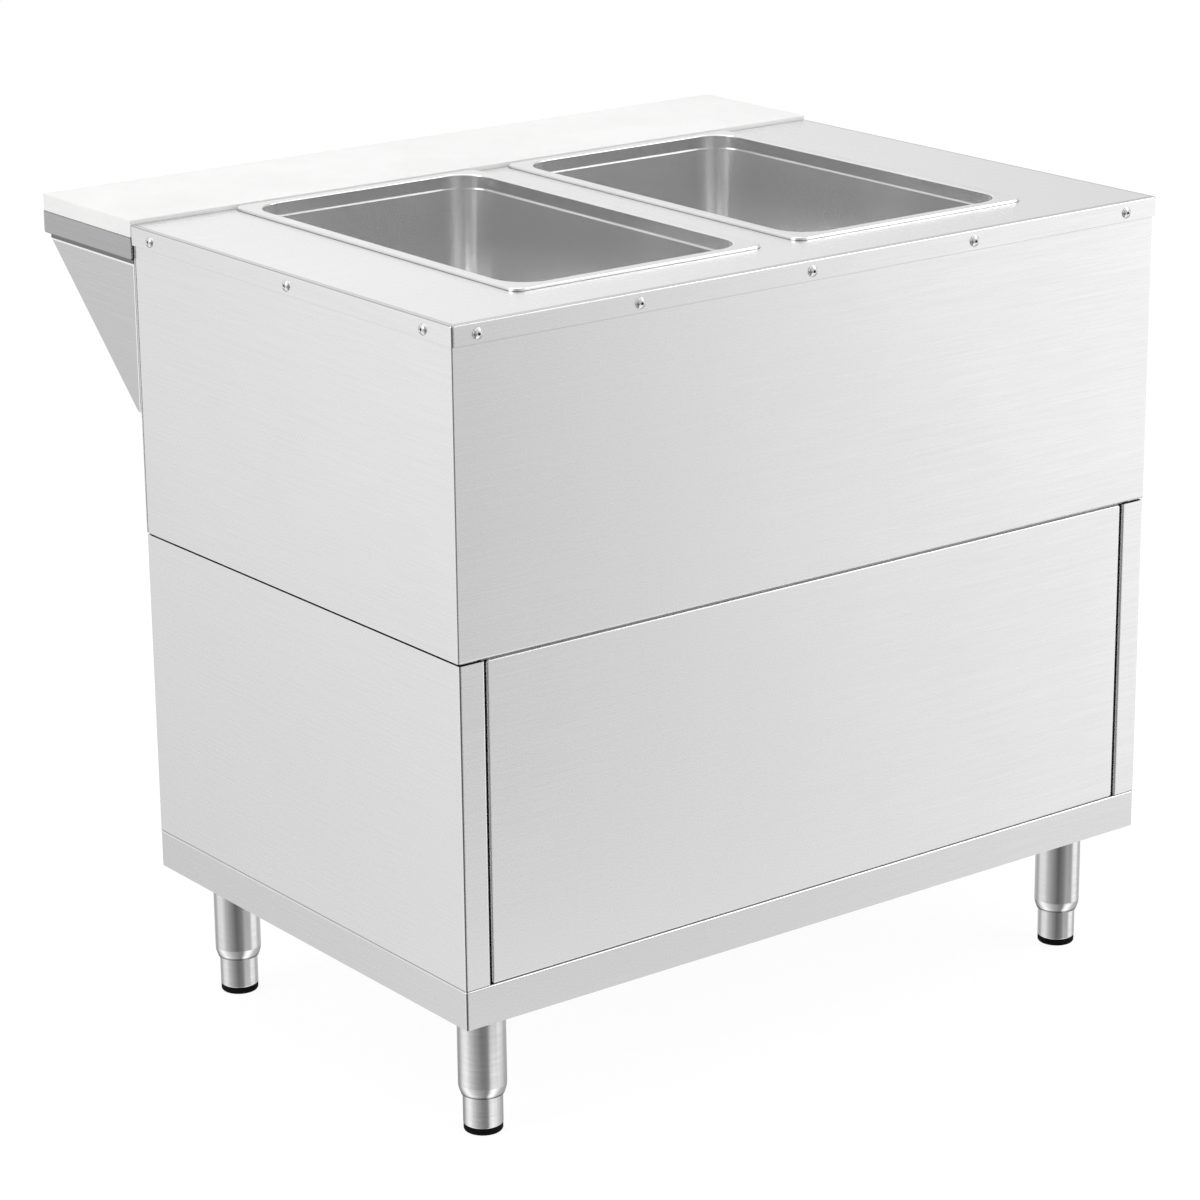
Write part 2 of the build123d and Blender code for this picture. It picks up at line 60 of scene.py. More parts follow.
class Wire:
    """A shader socket that takes part in Python expressions on values."""

    def __init__(self, recipe, socket):
        self.recipe = recipe
        self.socket = socket

    def _math(self, operation, first, second):
        return self.recipe.node("ShaderNodeMath", {"operation": operation}, {0: first, 1: second})

    def __add__(self, other):
        return self._math("ADD", self, other)

    __radd__ = __add__

    def __sub__(self, other):
        return self._math("SUBTRACT", self, other)

    def __rsub__(self, other):
        return self._math("SUBTRACT", other, self)

    def __mul__(self, other):
        return self._math("MULTIPLY", self, other)

    __rmul__ = __mul__

    def __truediv__(self, other):
        return self._math("DIVIDE", self, other)

    def __gt__(self, other):
        return self._math("GREATER_THAN", self, other)

    def __pow__(self, other):
        return self._math("POWER", self, other)

    def __abs__(self):
        return self._math("ABSOLUTE", self, 0.0)


NOISE_LOW = 0.3
NOISE_HIGH = 0.7


class Recipe:
    """The shader tree of a material or of the world, under construction."""

    def __init__(self, owner, output="ShaderNodeOutputMaterial"):
        self.owner = owner
        owner.use_nodes = True
        self.tree = owner.node_tree
        self.tree.nodes.clear()
        self.output = self.tree.nodes.new(output)

    def node(self, kind, settings=None, inputs=None, output=0):
        """Adds one node: its settings first, then the values or links of its sockets."""
        made = self.tree.nodes.new(kind)
        for key, value in (settings or {}).items():
            if key == "stops":
                self._stops(made, value)
            else:
                setattr(made, key, value)
        for key, value in (inputs or {}).items():
            self._feed(made.inputs[key], value)
        return Wire(self, made.outputs[output])

    def _stops(self, made, stops):
        ramp = made.color_ramp
        while len(ramp.elements) > 1:
            ramp.elements.remove(ramp.elements[-1])
        ramp.elements[0].position, ramp.elements[0].color = stops[0]
        for position, colour in stops[1:]:
            ramp.elements.new(position).color = colour

    def _feed(self, socket, value):
        if isinstance(value, Wire):
            self.tree.links.new(value.socket, socket)
        else:
            socket.default_value = value

    def place(self):
        """The point on the surface, in metres, in the part's own frame."""
        return self.node("ShaderNodeTexCoord", output="Object")

    def axes(self, vector):
        """The three parts of a vector."""
        return [self.node("ShaderNodeSeparateXYZ", inputs={0: vector}, output=i) for i in range(3)]

    def facing(self):
        """The three parts of the surface's outward direction."""
        return self.axes(self.node("ShaderNodeNewGeometry", output="Normal"))

    def stretched(self, vector, scale):
        """The vector with each axis scaled, which stretches a pattern along the small ones."""
        return self.node("ShaderNodeMapping", inputs={0: vector, "Scale": scale})

    def noise(self, vector, scale, detail, roughness):
        settings = {"noise_dimensions": "3D"}
        inputs = {"Vector": vector, "Scale": scale, "Detail": detail, "Roughness": roughness}
        return self.node("ShaderNodeTexNoise", settings, inputs)

    def blend(self, factor, low, high):
        """A colour between two others."""
        settings = {"data_type": "RGBA"}
        return self.node("ShaderNodeMix", settings, {0: factor, 6: low, 7: high}, output=2)

    def choose(self, factor, low, high):
        """A number between two others."""
        return self.node("ShaderNodeMix", {"data_type": "FLOAT"}, {0: factor, 2: low, 3: high})

    def spread(self, value, low, high, out_low, out_high):
        """Maps a span of values onto another, held at its ends."""
        inputs = {0: value, 1: low, 2: high, 3: out_low, 4: out_high}
        return self.node("ShaderNodeMapRange", {"clamp": True}, inputs)

    def over_noise(self, value, out_low, out_high):
        """Maps the usual span of a noise onto another."""
        return self.spread(value, NOISE_LOW, NOISE_HIGH, out_low, out_high)

    def bump(self, height, distance, strength):
        inputs = {"Height": height, "Distance": distance, "Strength": strength}
        return self.node("ShaderNodeBump", inputs=inputs)

    def ramp(self, value, stops):
        """A grey level read from (position, level) stops."""
        settings = {"stops": [(position, grey(level)) for position, level in stops]}
        return self.node("ShaderNodeValToRGB", settings, {0: value})

    def band(self, value, middle, half_width):
        """One on a narrow band of values about the middle, falling softly to zero beside it."""
        full, gone = half_width * 0.6, half_width * 1.3
        return self.spread(abs(value - middle), full, gone, 1.0, 0.0)

    def least(self, first, second):
        return self.node("ShaderNodeMath", {"operation": "MINIMUM"}, {0: first, 1: second})

    def most(self, first, second):
        return self.node("ShaderNodeMath", {"operation": "MAXIMUM"}, {0: first, 1: second})

    def end_with(self, shader):
        self.tree.links.new(shader.socket, self.output.inputs["Surface"])
        return self.owner

    def surface(self, inputs):
        """The shader itself, with constants set straight on its sockets."""
        return self.end_with(self.node("ShaderNodeBsdfPrincipled", inputs=inputs))


def grey(level):
    return (level, level, level, 1.0)


# Finishes

# The streaks of each grain, as cycles per metre across them and along them.
SHEET_FINE = (820.0, 16.0)
SHEET_BROAD = (330.0, 7.0)
PAN_FINE = (700.0, 20.0)
PAN_BROAD = (60.0, 6.0)
TUBE_FINE = (1500.0, 30.0)
TUBE_BROAD = (200.0, 12.0)
GRAIN_DEPTH = 0.03 * MM
FLAT_FACING = 0.7
SIDE_FACING = 0.6
# Grey levels for the masks below: dark joints together with painted shade, painted shade at the legs' necks,
# and painted highlights on folds.
JOINT_AND_SHADE_GREY = 0.16
NECK_GREY = 0.1
GLEAM_GREY = 0.98


def new_recipe(name):
    return Recipe(bpy.data.materials.new(name))


def metal(recipe, colour, roughness, normal):
    return recipe.surface({"Base Color": colour, "Metallic": 1.0, "Roughness": roughness, "Normal": normal})


def streaks(recipe, along, rates, detail, decay):
    """One streak pattern. The axes named by along run with its streaks."""
    across_rate, along_rate = rates
    scale = [across_rate] * 3
    for axis in along:
        scale[axis] = along_rate
    return recipe.noise(recipe.stretched(recipe.place(), tuple(scale)), 1.0, detail, decay)


def grain(recipe, along, fine, broad):
    """The fine and the broad streaks of a brushed or drawn face."""
    return streaks(recipe, along, fine, 3.0, 0.6), streaks(recipe, along, broad, 2.0, 0.5)


def brushed_sheet(name, tone=0.78, rough=0.27, contrast=0.026, shade_lines=None, gleam_lines=None):
    """Stainless sheet with level brush streaks on upright faces and streaks along X on flat ones.

    shade_lines takes the recipe and gives a mask of the dark joints and of the edges where shade is painted
    into the colour, and gleam_lines one of the folds where a highlight is painted.
    """
    recipe = new_recipe(name)
    fine_wall, broad_wall = grain(recipe, (X, Y), SHEET_FINE, SHEET_BROAD)
    fine_top, broad_top = grain(recipe, (X,), SHEET_FINE, SHEET_BROAD)
    flat = abs(recipe.facing()[Z]) > FLAT_FACING
    fine = recipe.choose(flat, fine_wall, fine_top)
    broad = recipe.choose(flat, broad_wall, broad_top)
    cloud = recipe.noise(recipe.place(), 3.5, 3.0, 0.55)
    mix = fine * 0.4 + broad * 0.3 + cloud * 0.3
    light = recipe.spread(mix, 0.32, 0.68, 0.0, 1.0)
    colour = recipe.blend(light, grey(tone - contrast), grey(tone + contrast * 0.5))
    if gleam_lines:
        # Painted highlight blended into the colour along the gleam lines.
        colour = recipe.blend(gleam_lines(recipe), colour, grey(GLEAM_GREY))
    if shade_lines:
        # Dark joints and painted shade blended into the colour along the shade lines.
        colour = recipe.blend(shade_lines(recipe), colour, grey(JOINT_AND_SHADE_GREY))
    roughness = recipe.over_noise(mix, rough + 0.05, rough - 0.04)
    return metal(recipe, colour, roughness, recipe.bump(fine, GRAIN_DEPTH, 0.08))


def drawn_pan(name):
    """Deep-drawn satin steel with a faint grain round its walls."""
    recipe = new_recipe(name)
    fine, broad = grain(recipe, (X, Y), PAN_FINE, PAN_BROAD)
    cloud = recipe.noise(recipe.place(), 9.0, 3.0, 0.5)
    mix = fine * 0.35 + broad * 0.25 + cloud * 0.4
    colour = recipe.blend(recipe.over_noise(mix, 0.0, 1.0), grey(0.7), grey(0.8))
    return metal(recipe, colour, recipe.over_noise(mix, 0.26, 0.2), recipe.bump(fine, GRAIN_DEPTH, 0.3))


def turned_steel(name, tone, rough, shade_lines=None):
    """Tube steel with fine rings round its upright axis."""
    recipe = new_recipe(name)
    fine, broad = grain(recipe, (X, Y), TUBE_FINE, TUBE_BROAD)
    mix = fine * 0.6 + broad * 0.4
    colour = recipe.blend(recipe.over_noise(mix, 0.0, 1.0), grey(tone - 0.06), grey(tone + 0.05))
    if shade_lines:
        colour = recipe.blend(shade_lines(recipe), colour, grey(NECK_GREY))
    roughness = recipe.over_noise(mix, rough + 0.04, rough - 0.03)
    return metal(recipe, colour, roughness, recipe.bump(fine, GRAIN_DEPTH, 0.3))


def rivet_steel(name):
    """Polished rivet steel with painted shade, near black, inside its mandrel bore."""
    recipe = new_recipe(name)
    scuff = recipe.noise(recipe.place(), 900.0, 3.0, 0.6)
    core = recipe.node("ShaderNodeAttribute", {"attribute_name": "core"}, output="Fac")
    bright = recipe.blend(recipe.over_noise(scuff, 0.0, 1.0), grey(0.55), grey(0.7))
    # Painted shade: the points of the mandrel bore are coloured near black.
    colour = recipe.blend(core, bright, grey(0.015))
    return metal(recipe, colour, recipe.over_noise(scuff, 0.13, 0.07), recipe.bump(scuff, 0.02 * MM, 0.2))


def galvanised_sheet(name):
    """Zinc-coated sheet with its crystal spangle."""
    recipe = new_recipe(name)
    cells = recipe.node("ShaderNodeTexVoronoi", {"feature": "F1"},
                        {"Vector": recipe.place(), "Scale": 110.0}, output="Color")
    tone = recipe.axes(cells)[X]
    cloud = recipe.noise(recipe.place(), 30.0, 3.0, 0.6)
    mix = tone * 0.7 + cloud * 0.3
    colour = recipe.blend(mix, (0.42, 0.43, 0.45, 1.0), (0.62, 0.63, 0.65, 1.0))
    roughness = recipe.spread(mix, 0.0, 1.0, 0.5, 0.34)
    return metal(recipe, colour, roughness, recipe.bump(tone, 0.04 * MM, 0.3))


def element_sheath(name):
    """Heater sheath, dark and oxidised, with bluish and brown heat tints."""
    recipe = new_recipe(name)
    tint = recipe.noise(recipe.place(), 18.0, 3.0, 0.6)
    fleck = recipe.noise(recipe.place(), 700.0, 2.0, 0.6)
    heat = recipe.spread(tint, 0.35, 0.65, 0.0, 1.0)
    return recipe.surface({
        "Base Color": recipe.blend(heat, (0.05, 0.045, 0.05, 1.0), (0.16, 0.12, 0.09, 1.0)),
        "Metallic": 0.8,
        "Roughness": recipe.over_noise(fleck, 0.42, 0.6),
        "Normal": recipe.bump(fleck, 0.04 * MM, 0.4),
    })


def cutting_board(name):
    """White poly board with a fine pebble and a few faint rubbed patches."""
    recipe = new_recipe(name)
    pebble = recipe.noise(recipe.place(), 1400.0, 2.0, 0.5)
    rubbed = recipe.noise(recipe.place(), 7.0, 4.0, 0.6)
    wear = recipe.spread(rubbed, 0.35, 0.65, 0.0, 1.0)
    return recipe.surface({
        "Base Color": recipe.blend(wear, (0.88, 0.88, 0.872, 1.0), (0.93, 0.93, 0.925, 1.0)),
        "Roughness": recipe.over_noise(rubbed, 0.5, 0.42),
        "Normal": recipe.bump(pebble, 0.06 * MM, 0.25),
        "Subsurface Weight": 0.08,
        "Subsurface Scale": 4 * MM,
    })


def moulded(name, colour, rough, coat=0.0, specular=0.5):
    """Moulded plastic, rubber or ink with a fine grain and a trace of dust."""
    recipe = new_recipe(name)
    pebble = recipe.noise(recipe.place(), 1600.0, 2.0, 0.5)
    dust = recipe.noise(recipe.place(), 60.0, 3.0, 0.6)
    clean = (*colour, 1.0)
    dusty = (*[min(1.0, c * 1.25 + 0.003) for c in colour], 1.0)
    return recipe.surface({
        "Base Color": recipe.blend(recipe.spread(dust, 0.35, 0.7, 0.0, 1.0), clean, dusty),
        "Roughness": recipe.over_noise(dust, rough - 0.05, rough + 0.06),
        "Normal": recipe.bump(pebble, 0.05 * MM, 0.3),
        "Coat Weight": coat,
        "Specular IOR Level": specular,
    })


def signal_lens(name):
    """Amber lens under a clear coat."""
    recipe = new_recipe(name)
    swirl = recipe.noise(recipe.place(), 220.0, 2.0, 0.5)
    return recipe.surface({
        "Base Color": recipe.blend(swirl, (0.75, 0.25, 0.02, 1.0), (0.95, 0.42, 0.05, 1.0)),
        "Roughness": recipe.over_noise(swirl, 0.12, 0.2),
        "Coat Weight": 0.6,
    })


# Lines of painted shade and painted highlight, and dark joints, each a mask from zero to one

def past_sides(recipe, node, corner=0.0):
    """How far a point lies past a node's box along X and along Y, from where its corners start."""
    low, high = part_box(node)
    place = recipe.axes(recipe.place())
    past = []
    for axis in (X, Y):
        middle = (low[axis] + high[axis]) / 2
        half = (high[axis] - low[axis]) / 2 - corner
        past.append(abs(place[axis] - middle) - half)
    return past


def outside_of_box(recipe, node, corner):
    """Distance of a point, seen from above, outside the rounded outline of a node."""
    past_x, past_y = past_sides(recipe, node, corner)
    reach_x = recipe.most(past_x, 0.0)
    reach_y = recipe.most(past_y, 0.0)
    corner_reach = (reach_x * reach_x + reach_y * reach_y) ** 0.5
    return corner_reach + recipe.least(recipe.most(past_x, past_y), 0.0) - corner


def painted_corner_shade(recipe, node, corner):
    """A fine line of painted shade down the middle of each rounded upright corner of a node's outline."""
    past_x, past_y = past_sides(recipe, node, corner)
    on_corner = recipe.least(past_x, past_y) > -0.2 * MM
    return recipe.band(past_x - past_y, 0.0, 0.9 * MM) * on_corner * 0.9


def fold_shade(recipe):
    """Painted shade that tones down the gleam on a fold between a flat top and an upright face."""
    return recipe.band(recipe.facing()[Z], 0.6, 0.28) * 0.55


def worktop_shade(recipe):
    """Painted shade: a fine dark line round each pan's flange for its contact shadow, along the folds and
    down each corner of the lip.
    """
    rim_corner = 13 * MM
    lip_corner = 3 * MM
    fold_inset = 3.4 * MM
    # Painted shade just inside the lip's top fold.
    edge = recipe.band(outside_of_box(recipe, "worktop", lip_corner), -fold_inset, 1.9 * MM)
    mask = recipe.most(edge * 0.42, fold_shade(recipe))
    for pan in ("pan_left", "pan_right"):
        # Painted contact shadow round the pan's flange.
        line = recipe.band(outside_of_box(recipe, pan, rim_corner), 0.0, 1.3 * MM)
        mask = recipe.most(line * 0.6, mask)
    return recipe.most(mask, painted_corner_shade(recipe, "worktop", lip_corner))


def under_lip_shade(recipe):
    """The thin line of painted shadow that the lip throws on the panels, and the dark joint at each front
    corner.
    """
    lip_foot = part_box("worktop")[0][Z]
    front_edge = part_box("upper_side_panel_left")[0][Y]
    _, along, up = recipe.axes(recipe.place())
    # Painted shadow under the lip.
    shade = recipe.spread(up, lip_foot - 2.0 * MM, lip_foot - 0.4 * MM, 0.0, 0.55)
    on_side = abs(recipe.facing()[X]) > SIDE_FACING
    joint = recipe.band(along, front_edge, 1.5 * MM) * on_side
    return recipe.most(shade, joint * 0.95)


def lower_shade(recipe):
    """Painted shade down the folded corners of the lower body and its base, and along the groove of the
    joint between them.
    """
    fold_radius = 2.4 * MM
    band_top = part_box("base_tray")[1][Z]
    joint = recipe.band(recipe.axes(recipe.place())[Z], band_top, 0.8 * MM)
    return recipe.most(joint * 0.7, painted_corner_shade(recipe, "base_tray", fold_radius))


def seam_shade(recipe):
    """The deck between the upper and lower body is painted dark, as shade, where its edge shows in the seam.
    """
    return recipe.spread(recipe.most(*past_sides(recipe, "mid_deck")), -6 * MM, -4 * MM, 0.0, 0.9)


def shelf_shade(recipe):
    """Painted shade under the board's edge and along the channel's foot."""
    low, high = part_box("board_channel")
    up = recipe.axes(recipe.place())[Z]
    under_board = recipe.spread(up, high[Z] - 1.6 * MM, high[Z] - 0.3 * MM, 0.0, 0.8)
    foot = recipe.spread(up, low[Z] + 0.3 * MM, low[Z] + 1.4 * MM, 0.5, 0.0)
    return recipe.most(under_board, foot)


def bracket_shown_from():
    """The height up to which the channel's overhang leaves a bracket's side in the camera's sight."""
    sight_fall = 0.52
    channel_low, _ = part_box("board_channel")
    low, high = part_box("board_bracket_left")
    return high[Z] - (low[X] - channel_low[X]) * sight_fall


def bracket_shade(recipe):
    """Painted shade in the groove along the top of each bracket, where its fold meets the channel."""
    shown = bracket_shown_from()
    up = recipe.axes(recipe.place())[Z]
    return recipe.spread(up, shown - 4.0 * MM, shown - 3.4 * MM, 0.0, 0.95)


def bracket_gleam(recipe):
    """Painted highlights on the folds along the top and the back of each bracket."""
    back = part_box("board_bracket_left")[0][Y]
    _, along, up = recipe.axes(recipe.place())
    top = recipe.band(up, bracket_shown_from() - 4.9 * MM, 0.9 * MM)
    return recipe.most(top, recipe.spread(along, back + 1.6 * MM, back + 2.4 * MM, 1.0, 0.0))


def neck_shade(recipe):
    """Painted shade at the foot of each leg, where its neck takes in the adjustable foot."""
    leg_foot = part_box("leg_1")[0][Z]
    return recipe.band(recipe.axes(recipe.place())[Z], leg_foot, 2.4 * MM) * 0.8


FINISHES = {
    "sheet": brushed_sheet("brushed_stainless_sheet"),
    "top_sheet": brushed_sheet("brushed_worktop_sheet", shade_lines=worktop_shade),
    "upper_sheet": brushed_sheet("brushed_upper_sheet", shade_lines=under_lip_shade),
    "inset_sheet": brushed_sheet("brushed_inset_sheet", shade_lines=fold_shade),
    "lower_sheet": brushed_sheet("brushed_lower_sheet", shade_lines=lower_shade),
    # The tray's lower tone of 0.7 is painted shade on a copy of the same sheet.
    "tray_sheet": brushed_sheet("brushed_tray_sheet", 0.7, shade_lines=lower_shade),
    "deck_sheet": brushed_sheet("brushed_deck_sheet", shade_lines=seam_shade),
    # The lower tones of the channel and the brackets are painted shade on copies of the same sheet.
    "shelf_sheet": brushed_sheet("brushed_shelf_sheet", 0.45, 0.26, 0.03, shelf_shade),
    "bracket_sheet": brushed_sheet("brushed_gusset_sheet", 0.6, 0.28, 0.03, bracket_shade, bracket_gleam),
    "rivet": rivet_steel("bright_rivet_steel"),
    "pan": drawn_pan("drawn_pan_steel"),
    "tube": turned_steel("turned_tube_steel", 0.7, 0.15),
    "leg": turned_steel("turned_leg_steel", 0.7, 0.15, neck_shade),
    "zinc": galvanised_sheet("galvanised_sheet"),
    "element": element_sheath("oxidised_element_sheath"),
    "board": cutting_board("white_cutting_board"),
    "pad": moulded("black_rubber_pad", (0.002, 0.002, 0.002), 0.8, specular=0.12),
    "knob": moulded("black_phenolic_knob", (0.014, 0.014, 0.015), 0.3, 0.3),
    "plastic": moulded("dark_switch_plastic", (0.03, 0.03, 0.032), 0.5),
    "lens": signal_lens("amber_signal_lens"),
    "ink": moulded("white_dial_ink", (0.8, 0.8, 0.78), 0.5),
}

SLOT_FINISH = {
    "brushed_stainless": "sheet",
    "pan_steel": "pan",
    "leg_steel": "tube",
    "galvanised": "zinc",
    "heater_sheath": "element",
    "white_board": "board",
    "black_pad": "pad",
    "black_knob": "knob",
    "dark_plastic": "plastic",
    "amber_lens": "lens",
    "rivet_steel": "rivet",
}

NODE_FINISH = {
    "worktop": "top_sheet",
    "upper_front_panel": "upper_sheet",
    "upper_side_panel_left": "upper_sheet",
    "upper_side_panel_right": "upper_sheet",
    "control_panel": "upper_sheet",
    "mid_deck": "deck_sheet",
    "lower_front_panel": "inset_sheet",
    "lower_side_panel_left": "lower_sheet",
    "lower_side_panel_right": "lower_sheet",
    "base_tray": "tray_sheet",
    "board_channel": "shelf_sheet",
    "board_bracket_left": "bracket_sheet",
    "board_bracket_right": "bracket_sheet",
    **{f"leg_{number}": "leg" for number in range(1, 5)},
}


def dress_nodes():
    """Gives every CAD node its own finish, or else the finish of its record slot."""
    slots = {part["node"]: part["material_slot"] for part in frame["record"]["subparts"]}
    for node, thing in frame["nodes"].items():
        thing.data.materials.clear()
        finish = NODE_FINISH.get(node, SLOT_FINISH[slots[node]])
        thing.data.materials.append(FINISHES[finish])


# Fasteners

def lathe(name, outline, steps, core=0.0):
    """A closed turned shape about Z from (radius, height) points that start and end on the axis.

    The attribute core marks the points above the base that lie within the core radius.
    """
    mesh = bpy.data.meshes.new(name)
    shape = bmesh.new()
    verts = [shape.verts.new((r, 0.0, z)) for r, z in outline]
    edges = [shape.edges.new(pair) for pair in zip(verts, verts[1:])]
    bmesh.ops.spin(shape, geom=verts + edges, cent=(0, 0, 0), axis=(0, 0, 1),
                   angle=2 * math.pi, steps=steps, use_duplicate=False)
    bmesh.ops.remove_doubles(shape, verts=shape.verts, dist=1e-6)
    bmesh.ops.recalc_face_normals(shape, faces=shape.faces)
    shape.to_mesh(mesh)
    shape.free()
    for face in mesh.polygons:
        face.use_smooth = True
    marks = mesh.attributes.new("core", "FLOAT", "POINT")
    for mark, vertex in zip(marks.data, mesh.vertices):
        inside = vertex.co.xy.length < core and vertex.co.z > 0
        mark.value = 1.0 if inside else 0.0
    return bpy.data.objects.new(name, mesh)


def rivet_outline(radius, rise, bore, depth):
    """A dome head with a round-bottomed mandrel hole in its crown."""
    turns = 7
    sunk = 0.2 * MM
    points = [(0.0, rise - depth), (bore * 0.6, rise - depth), (bore * 0.9, rise - depth * 0.6)]
    crown = math.asin(bore / radius)
    for i in range(turns + 1):
        angle = crown + (math.pi / 2 - crown) * i / turns
        points.append((radius * math.sin(angle), rise * math.cos(angle)))
    points += [(radius, -sunk), (0.0, -sunk)]
    return points


def hex_head(name, radius, height):
    """A hexagon bolt head with a chamfered crown and a washer."""
    shape = bmesh.new()
    washer_share = 0.25
    cones = (
        (28, radius * 1.5, 0.0, washer_share),
        (6, radius, washer_share, 1.0),
    )
    for segments, reach, foot, top in cones:
        cone = bmesh.ops.create_cone(shape, cap_ends=True, segments=segments, radius1=reach,
                                     radius2=reach, depth=height * (top - foot))
        bmesh.ops.translate(shape, verts=cone["verts"], vec=(0, 0, height * (foot + top) / 2))
    crown = [e for e in shape.edges if all(v.co.z > height * 0.99 for v in e.verts)]
    bmesh.ops.bevel(shape, geom=crown, offset=radius * 0.14, segments=2, affect="EDGES")
    mesh = bpy.data.meshes.new(name)
    shape.to_mesh(mesh)
    shape.free()
    return bpy.data.objects.new(name, mesh)


def cross_screw(name, radius, rise):
    """A low pan head with a cross recess cut by a boolean."""
    turns = 6
    sunk = 0.1 * MM
    outline = [(0.0, rise)]
    for i in range(1, turns + 1):
        angle = math.pi / 2 * i / turns
        outline.append((radius * math.sin(angle), rise * (0.35 + 0.65 * math.cos(angle))))
    outline += [(radius, -sunk), (0.0, -sunk)]
    head = lathe(name, outline, 28)
    bpy.context.scene.collection.objects.link(head)
    cutter_shape = bmesh.new()
    scale = Matrix.Diagonal((radius * 1.15, radius * 0.24, rise * 0.9, 1.0))
    move = Matrix.Translation((0, 0, rise * 0.85))
    for turn in (0.0, math.pi / 2):
        arm = bmesh.ops.create_cube(cutter_shape, size=1.0)
        place = move @ Matrix.Rotation(turn, 4, "Z") @ scale
        bmesh.ops.transform(cutter_shape, matrix=place, verts=arm["verts"])
    cutter_mesh = bpy.data.meshes.new(name + "_cutter")
    cutter_shape.to_mesh(cutter_mesh)
    cutter_shape.free()
    cutter = bpy.data.objects.new(name + "_cutter", cutter_mesh)
    bpy.context.scene.collection.objects.link(cutter)
    cut = head.modifiers.new("recess", "BOOLEAN")
    cut.operation = "DIFFERENCE"
    cut.solver = "EXACT"
    cut.use_self = True
    cut.object = cutter
    result = plain_mesh(head, name)
    for spent in (head, cutter):
        bpy.data.objects.remove(spent)
    return result


def plain_mesh(thing, name):
    """The evaluated shape of an object as a new object with no modifier."""
    bpy.context.view_layer.update()
    evaluated = thing.evaluated_get(bpy.context.evaluated_depsgraph_get())
    mesh = bpy.data.meshes.new_from_object(evaluated)
    mesh.name = name
    return bpy.data.objects.new(name, mesh)


def fastener_tree():
    """A node tree that stands one fastener on every point, turned to the point's facing."""
    tree = bpy.data.node_groups.new("fasteners_on_points", "GeometryNodeTree")
    face = tree.interface
    face.new_socket("Points", in_out="INPUT", socket_type="NodeSocketGeometry")
    face.new_socket("Fastener", in_out="INPUT", socket_type="NodeSocketObject")
    face.new_socket("Finish", in_out="INPUT", socket_type="NodeSocketMaterial")
    face.new_socket("Turn Seed", in_out="INPUT", socket_type="NodeSocketInt")
    face.new_socket("Heads", in_out="OUTPUT", socket_type="NodeSocketGeometry")
    nodes, links = tree.nodes, tree.links
    start = nodes.new("NodeGroupInput")
    end = nodes.new("NodeGroupOutput")
    facing = nodes.new("GeometryNodeInputNamedAttribute")
    facing.data_type = "FLOAT_VECTOR"
    facing.inputs["Name"].default_value = "facing"
    align = nodes.new("FunctionNodeAlignRotationToVector")
    align.axis = "Z"
    links.new(facing.outputs["Attribute"], align.inputs["Vector"])
    spin = nodes.new("FunctionNodeRandomValue")
    spin.data_type = "FLOAT"
    least, most = 2, 3
    spin.inputs[least].default_value = 0.0
    spin.inputs[most].default_value = 2 * math.pi
    links.new(start.outputs["Turn Seed"], spin.inputs["Seed"])
    about = nodes.new("FunctionNodeAxisAngleToRotation")
    about.inputs["Axis"].default_value = (0, 0, 1)
    links.new(spin.outputs[1], about.inputs["Angle"])
    turn = nodes.new("FunctionNodeRotateRotation")
    turn.rotation_space = "LOCAL"
    links.new(align.outputs[0], turn.inputs[0])
    links.new(about.outputs[0], turn.inputs[1])
    source = nodes.new("GeometryNodeObjectInfo")
    links.new(start.outputs["Fastener"], source.inputs["Object"])
    stand = nodes.new("GeometryNodeInstanceOnPoints")
    links.new(start.outputs["Points"], stand.inputs["Points"])
    links.new(source.outputs["Geometry"], stand.inputs["Instance"])
    links.new(turn.outputs[0], stand.inputs["Rotation"])
    real = nodes.new("GeometryNodeRealizeInstances")
    links.new(stand.outputs[0], real.inputs[0])
    paint = nodes.new("GeometryNodeSetMaterial")
    links.new(real.outputs[0], paint.inputs["Geometry"])
    links.new(start.outputs["Finish"], paint.inputs["Material"])
    links.new(paint.outputs[0], end.inputs[0])
    return tree


FASTENER_TREE = fastener_tree()


def set_fasteners(name, head, sites, finish, body, seed):
    """Stands a head on each (place, facing) site, as one plain mesh that rides on a body."""
    mesh = bpy.data.meshes.new(name + "_sites")
    mesh.from_pydata([place for place, _ in sites], [], [])
    facing = mesh.attributes.new("facing", "FLOAT_VECTOR", "POINT")
    for item, (_, way) in zip(facing.data, sites):
        item.vector = way
    carrier = bpy.data.objects.new(name + "_sites", mesh)
    bpy.context.scene.collection.objects.link(carrier)
    if head.name not in bpy.context.scene.collection.objects:
        bpy.context.scene.collection.objects.link(head)
    modifier = carrier.modifiers.new("stand", "NODES")
    modifier.node_group = FASTENER_TREE
    values = {"Fastener": head, "Finish": finish, "Turn Seed": seed}
    for item in FASTENER_TREE.interface.items_tree:
        if item.in_out == "INPUT" and item.name in values:
            modifier[item.identifier] = values[item.name]
    piece = plain_mesh(carrier, name)
    bpy.data.objects.remove(carrier)
    bpy.context.scene.collection.objects.link(piece)
    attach(piece, body)
    return piece


